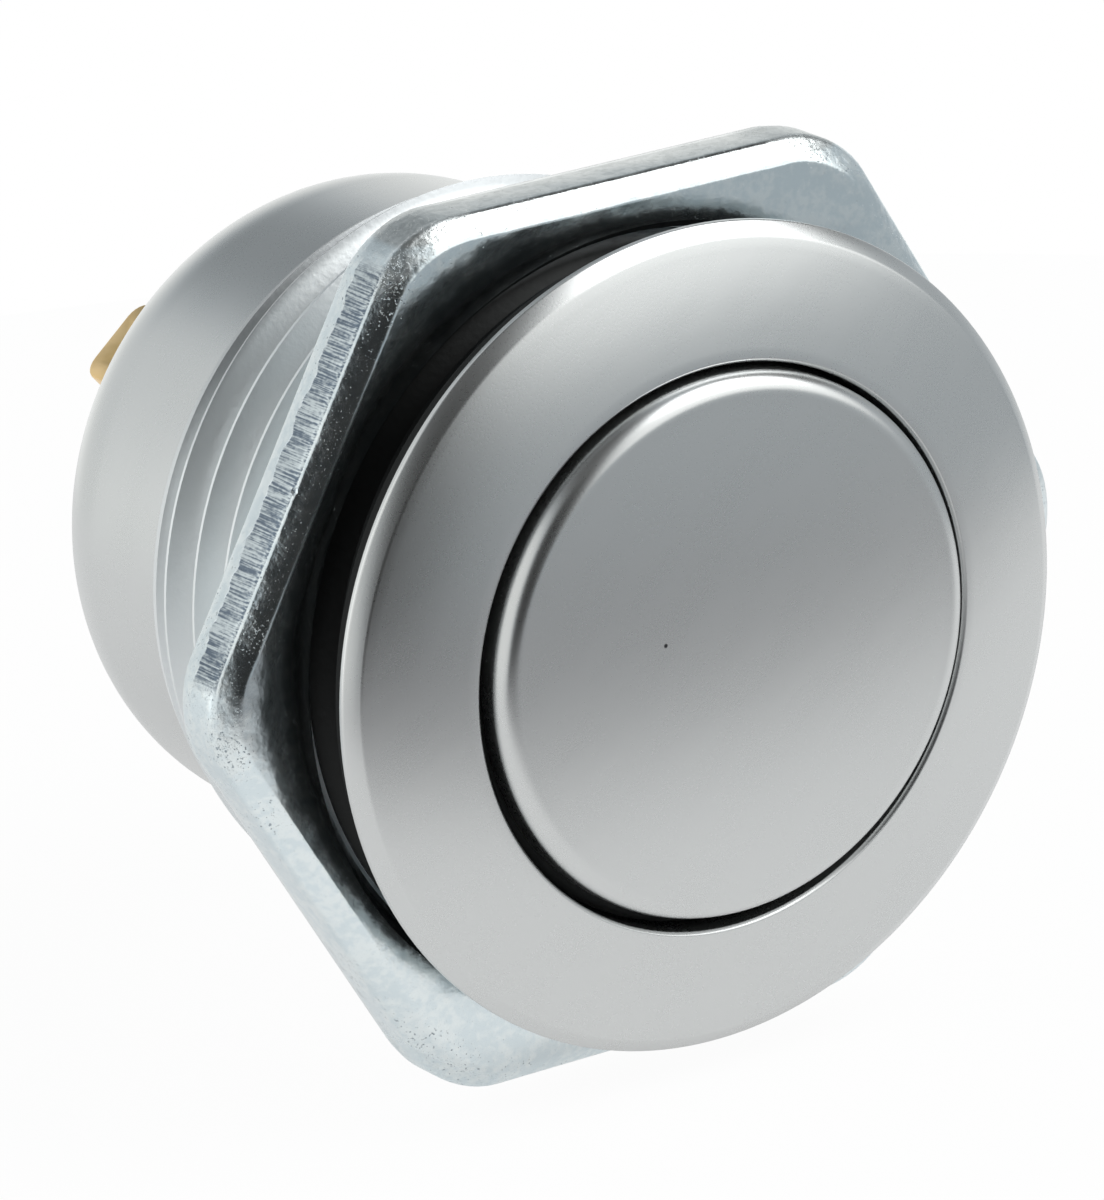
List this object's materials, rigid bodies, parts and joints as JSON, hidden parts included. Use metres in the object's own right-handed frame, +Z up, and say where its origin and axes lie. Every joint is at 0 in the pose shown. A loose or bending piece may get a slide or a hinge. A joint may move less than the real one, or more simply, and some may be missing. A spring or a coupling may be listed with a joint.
{
  "type": "pushbutton switch",
  "caption": "Momentary metal pushbutton for a panel: round satin bezel and button, threaded barrel with a hexagon nut, rounded tail and gold solder tabs.",
  "frame": {"origin": "centre of the bezel's rear face, the plane that seats on the panel", "axes": "+Y along the barrel towards the terminals, the button faces -Y, +Z up"},
  "size_m": [0.0288, 0.0288, 0.0256],
  "materials": {
    "satin_nickel": "fine blasted satin nickel",
    "bright_zinc": "bright zinc plate with a bluish cast",
    "black_rubber": "matt",
    "white_plastic": "moulded, low gloss",
    "black_plastic": "moulded, low gloss",
    "potting_resin": "cast resin with a slight sheen",
    "spring_steel": "drawn wire and strip",
    "brass_strip": "rolled strip",
    "silver_contact": "silver faced",
    "gold_plate": "thin gold plate over brass"
  },
  "bodies": {
    "barrel": {"housing": "satin_nickel", "panel_gasket": "black_rubber", "guide_bush": "white_plastic", "return_spring": "spring_steel", "contact_sleeve": "black_plastic", "terminal_left": "gold_plate", "terminal_right": "gold_plate", "fixed_contact_left": "silver_contact", "fixed_contact_right": "silver_contact", "terminal_base": "black_plastic", "rear_potting": "potting_resin"},
    "button": {"push_button": "satin_nickel", "button_seal": "black_rubber", "plunger": "white_plastic", "contact_spring": "spring_steel", "plunger_clip": "spring_steel"},
    "bridge": {"contact_bridge": "brass_strip", "bridge_contact_left": "silver_contact", "bridge_contact_right": "silver_contact"},
    "nut": {"panel_nut": "bright_zinc"}
  },
  "joints": [
    {"name": "button_press", "type": "slide", "parent": "barrel", "child": "button", "axis": [0, 1, 0], "range_m": [0, 0.0015], "stiffness_N_per_m": 800, "springref_m": -0.003, "deforming": ["return_spring", "contact_spring"]},
    {"name": "bridge_slide", "type": "slide", "parent": "barrel", "child": "bridge", "axis": [0, 1, 0], "range_m": [0, 0.001]},
    {"name": "nut_travel", "type": "slide", "parent": "barrel", "child": "nut", "axis": [0, 1, 0], "range_m": [-0.0014, 0.0061]}
  ],
  "couplings": [
    {"joint": "bridge_slide", "follows": "button_press", "ratio": 0.6666}
  ]
}
